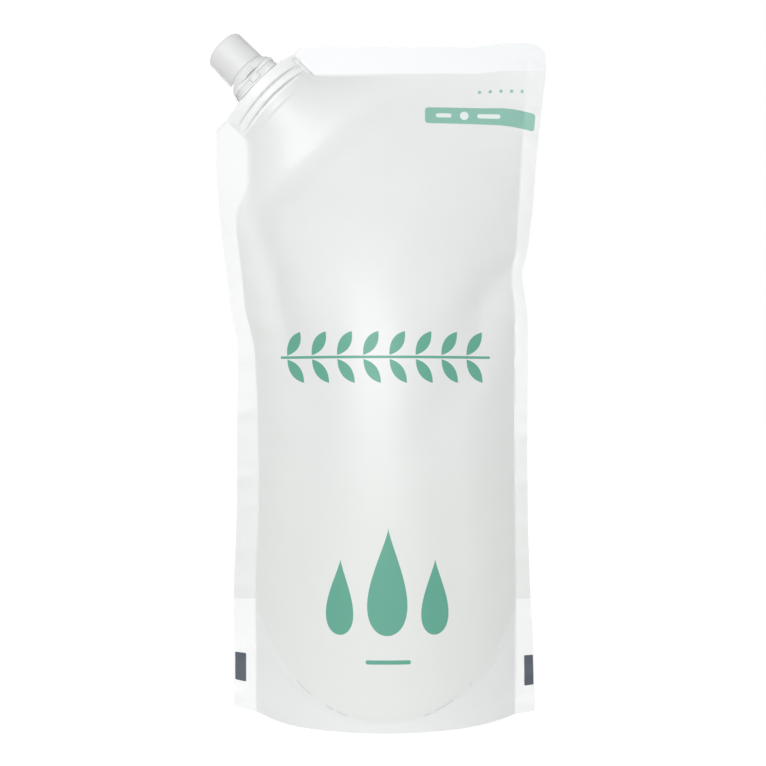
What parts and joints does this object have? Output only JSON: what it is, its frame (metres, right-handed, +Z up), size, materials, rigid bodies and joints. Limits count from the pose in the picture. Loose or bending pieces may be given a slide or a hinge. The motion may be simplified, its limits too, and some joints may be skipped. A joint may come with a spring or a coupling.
{
  "type": "stand-up refill pouch with corner spout",
  "caption": "Filled white stand-up refill pouch with welded side, top and folded bottom seals, a spout in its cut corner and a screw cap over a tamper band.",
  "frame": {"origin": "on the surface the pouch stands on, under the middle of its base", "axes": "+Z up the pouch, +X to the right of the printed face, which looks along -Y"},
  "size_m": [0.1326, 0.0458, 0.272],
  "materials": {
    "film": "satin pearl white laminate with soft gloss",
    "spout_plastic": "frosted natural polyethylene",
    "liner_foam": "matt white foam"
  },
  "bodies": {
    "pack": {"pouch": "film", "spout": "spout_plastic", "tamper_band": "spout_plastic"},
    "seal": {"cap_liner": "liner_foam"},
    "closure": {"cap": "spout_plastic"}
  },
  "joints": [
    {"name": "cap_rise", "type": "slide", "parent": "pack", "child": "seal", "axis": [-0.7133, 0, 0.7009], "range_m": [0, 0.012]},
    {"name": "cap_turn", "type": "hinge", "parent": "seal", "child": "closure", "pos_m": [-0.0483, 0, 0.25201], "axis": [-0.7133, 0, 0.7009], "range_deg": [0, 1081]}
  ],
  "couplings": [
    {"joint": "cap_turn", "follows": "cap_rise", "rad_per_m": 1570.8}
  ]
}
